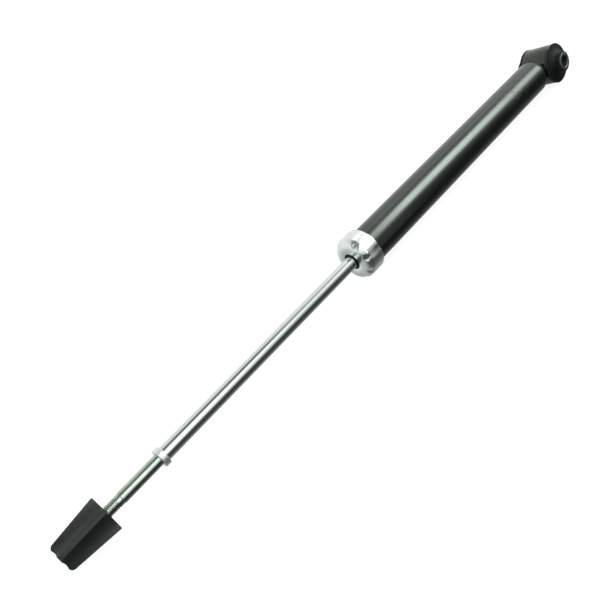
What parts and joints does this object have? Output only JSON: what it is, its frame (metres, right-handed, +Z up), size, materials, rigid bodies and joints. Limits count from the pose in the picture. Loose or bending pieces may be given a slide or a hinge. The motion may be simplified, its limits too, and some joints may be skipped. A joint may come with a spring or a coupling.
{
  "type": "shock absorber",
  "caption": "Telescopic gas shock absorber: black tube with a rubber-bushed eye, bright bump cap and a chromed rod that slides out to a threaded stem under a winged plastic cap.",
  "frame": {"origin": "centre of the eye's bore", "axes": "+X along the strut from the eye to the stem, +Y along the eye's bolt, +Z up: the strut lies on its side, resting on the eye bush and the bump cap"},
  "size_m": [0.7388, 0.0544, 0.0442],
  "materials": {
    "black_enamel": "semi-gloss black stoving enamel",
    "bright_zinc": "bright zinc plate on pressed sheet",
    "hard_chrome": "ground and polished hard chrome",
    "turned_steel": "turned steel, oiled",
    "plated_steel": "clear zinc plate",
    "drawn_steel": "drawn steel tube, oiled",
    "spring_steel": "blued spring steel",
    "sintered_iron": "sintered iron, steam treated",
    "bearing_bronze": "sintered bronze with a low-friction lining",
    "bush_rubber": "moulded rubber bonded to steel",
    "seal_rubber": "moulded nitrile rubber",
    "band_plastic": "filled fluoroplastic band",
    "cap_plastic": "black moulded polyethylene"
  },
  "bodies": {
    "body": {"eye_ring": "black_enamel", "eye_bush": "bush_rubber", "eye_weld": "black_enamel", "base_cap": "black_enamel", "reserve_tube": "black_enamel", "pressure_tube": "drawn_steel", "bump_cap": "bright_zinc", "rod_guide": "sintered_iron", "guide_bush": "bearing_bronze", "seal_washer": "drawn_steel", "rod_seal": "seal_rubber", "garter_spring": "spring_steel", "base_valve_body": "sintered_iron", "base_valve_discs": "spring_steel", "base_valve_washer": "drawn_steel", "base_valve_pin": "drawn_steel", "base_check_spring": "spring_steel"},
    "bolt_sleeve": {"eye_sleeve": "turned_steel"},
    "band": {"piston_band": "band_plastic"},
    "rod": {"piston_rod": "hard_chrome", "seat_collar": "plated_steel", "rebound_stop": "drawn_steel", "rebound_bumper": "band_plastic", "piston_body": "sintered_iron", "piston_check_spring": "spring_steel", "piston_stop_washer": "drawn_steel", "piston_discs": "spring_steel", "piston_disc_washer": "drawn_steel", "piston_nut": "plated_steel"},
    "piston_check": {"piston_check_plate": "spring_steel"},
    "base_check": {"base_check_plate": "spring_steel"},
    "cap": {"transit_cap": "cap_plastic"}
  },
  "joints": [
    {"name": "bush_twist", "type": "hinge", "parent": "body", "child": "bolt_sleeve", "pos_m": [0, 0, 0], "axis": [0, 1, 0], "range_deg": [-20, 20], "stiffness_Nm_per_rad": 20},
    {"name": "rod_stroke", "type": "slide", "parent": "body", "child": "band", "axis": [1, 0, 0], "range_m": [-0.218, 0], "stiffness_N_per_m": 250, "springref_m": 0.4},
    {"name": "rod_spin", "type": "hinge", "parent": "band", "child": "rod", "pos_m": [0.4, 0, 0], "axis": [1, 0, 0], "continuous": true},
    {"name": "piston_check_lift", "type": "slide", "parent": "rod", "child": "piston_check", "axis": [1, 0, 0], "range_m": [0, 0.001], "stiffness_N_per_m": 500, "springref_m": -0.001, "deforming": ["piston_check_spring"]},
    {"name": "base_check_lift", "type": "slide", "parent": "body", "child": "base_check", "axis": [1, 0, 0], "range_m": [0, 0.001], "stiffness_N_per_m": 500, "springref_m": -0.001, "deforming": ["base_check_spring"]},
    {"name": "cap_pull", "type": "slide", "parent": "rod", "child": "cap", "axis": [1, 0, 0], "range_m": [0, 0.06]}
  ]
}
